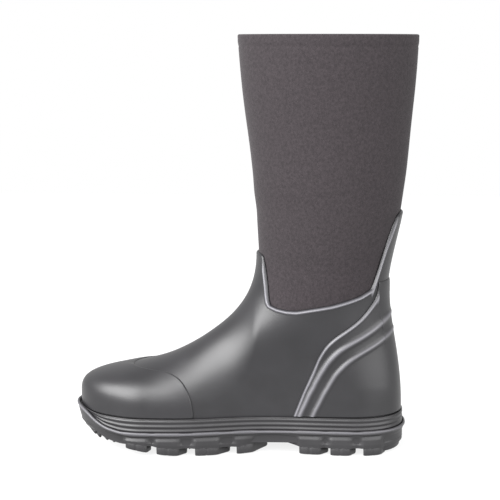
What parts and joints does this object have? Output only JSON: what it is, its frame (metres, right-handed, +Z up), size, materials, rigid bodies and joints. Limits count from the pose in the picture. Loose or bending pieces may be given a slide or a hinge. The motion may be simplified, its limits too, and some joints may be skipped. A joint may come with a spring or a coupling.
{
  "type": "neoprene rubber boot",
  "caption": "Tall pull-on neoprene boot with a bonded rubber galosh, toe cap, heel counter, sponge midsole and lugged rubber outsole, open at the collar.",
  "frame": {"origin": "on the floor under the middle of the boot's bounding box", "axes": "+Z up the shaft, -X towards the toe, -Y towards the inner side of the foot"},
  "size_m": [0.3206, 0.1208, 0.385],
  "materials": {
    "neoprene_sock": "matt brown-grey knit faced neoprene foam",
    "rubber_galosh": "satin charcoal rubber",
    "toe_cap": "satin charcoal rubber",
    "heel_counter": "satin charcoal rubber",
    "midsole": "satin charcoal sponge rubber with a moulded skin",
    "outsole": "satin charcoal moulded rubber",
    "insole": "dark fabric on foam"
  },
  "bodies": {
    "root": {"neoprene_sock": "neoprene_sock", "rubber_galosh": "rubber_galosh", "toe_cap": "toe_cap", "heel_counter": "heel_counter", "midsole": "midsole", "outsole": "outsole", "insole": "insole"}
  },
  "joints": []
}
